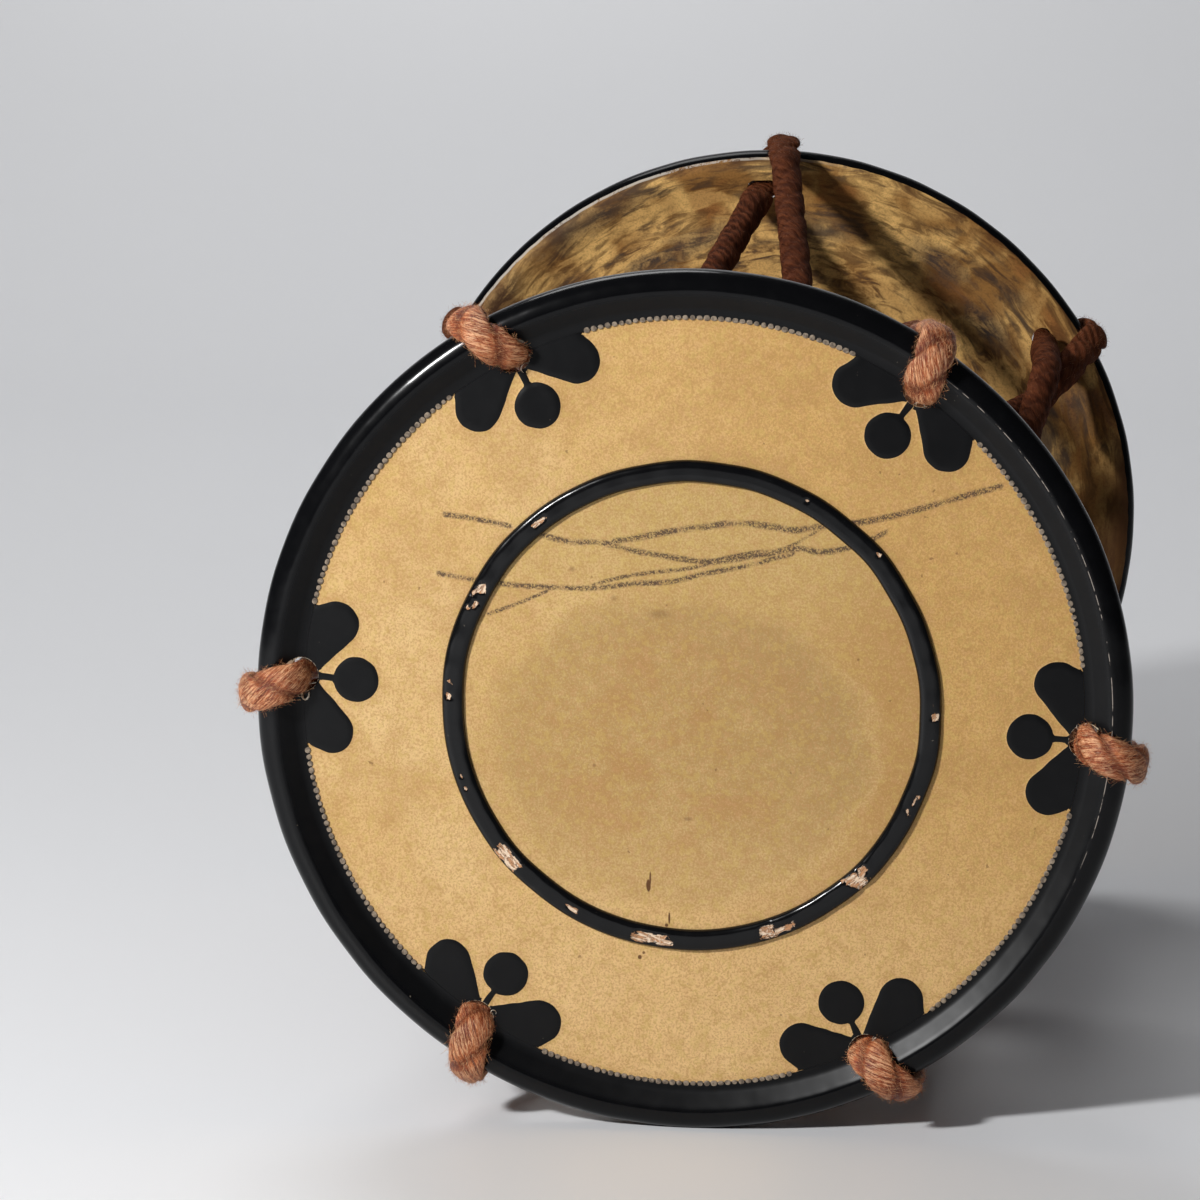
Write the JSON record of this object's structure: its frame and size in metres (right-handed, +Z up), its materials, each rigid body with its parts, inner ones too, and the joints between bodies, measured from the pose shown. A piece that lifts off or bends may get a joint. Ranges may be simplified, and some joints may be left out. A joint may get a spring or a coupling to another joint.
{
  "type": "tsuzumi",
  "caption": "Hourglass hand drum: lacquer-rimmed hide heads on iron hoops, laced over a turned wooden body by a zigzag hemp cord, with a waist cord round its legs",
  "frame": {"origin": "On the ground, under the middle of the drum's box, midway between the heads", "axes": "+Z up; +Y along the drum from the struck head to the rear head, level with the ground; +X to the right as seen facing the struck head"},
  "size_m": [0.2078, 0.2645, 0.2078],
  "materials": {
    "body_lacquer": "black-brown lacquer, worn satin",
    "hemp": "twisted hemp, dyed orange-red, fuzzy",
    "hoop_iron": "wrought, dull",
    "horsehide": "rawhide, aged and smudged",
    "black_lacquer": "black lacquer, worn gloss",
    "thread": "hemp thread",
    "deerskin": "soft, matte"
  },
  "bodies": {
    "body": {"drum_body": "body_lacquer", "lacing_cord": "hemp", "waist_cord": "hemp"},
    "front_head": {"front_hoop": "hoop_iron", "front_hide": "horsehide", "front_rim_lacquer": "black_lacquer", "front_ring_lacquer": "black_lacquer", "front_stitching_1": "thread", "front_stitching_2": "thread", "front_stitching_3": "thread", "front_stitching_4": "thread", "front_stitching_5": "thread", "front_stitching_6": "thread"},
    "rear_head": {"rear_hoop": "hoop_iron", "rear_hide": "horsehide", "rear_rim_lacquer": "black_lacquer", "rear_ring_lacquer": "black_lacquer", "rear_tone_patch": "deerskin", "rear_stitching_1": "thread", "rear_stitching_2": "thread", "rear_stitching_3": "thread", "rear_stitching_4": "thread", "rear_stitching_5": "thread", "rear_stitching_6": "thread"}
  },
  "joints": [
    {"name": "front_head_draw", "type": "slide", "parent": "body", "child": "front_head", "axis": [0, 0.9999, 0.0161], "range_m": [0, 0.001], "stiffness_N_per_m": 20000, "deforming": ["front_hide", "lacing_cord"]},
    {"name": "rear_head_draw", "type": "slide", "parent": "body", "child": "rear_head", "axis": [0, -0.9999, -0.0161], "range_m": [0, 0.001], "stiffness_N_per_m": 20000, "deforming": ["rear_hide", "lacing_cord"]}
  ],
  "couplings": [
    {"joint": "rear_head_draw", "follows": "front_head_draw", "ratio": 1}
  ]
}
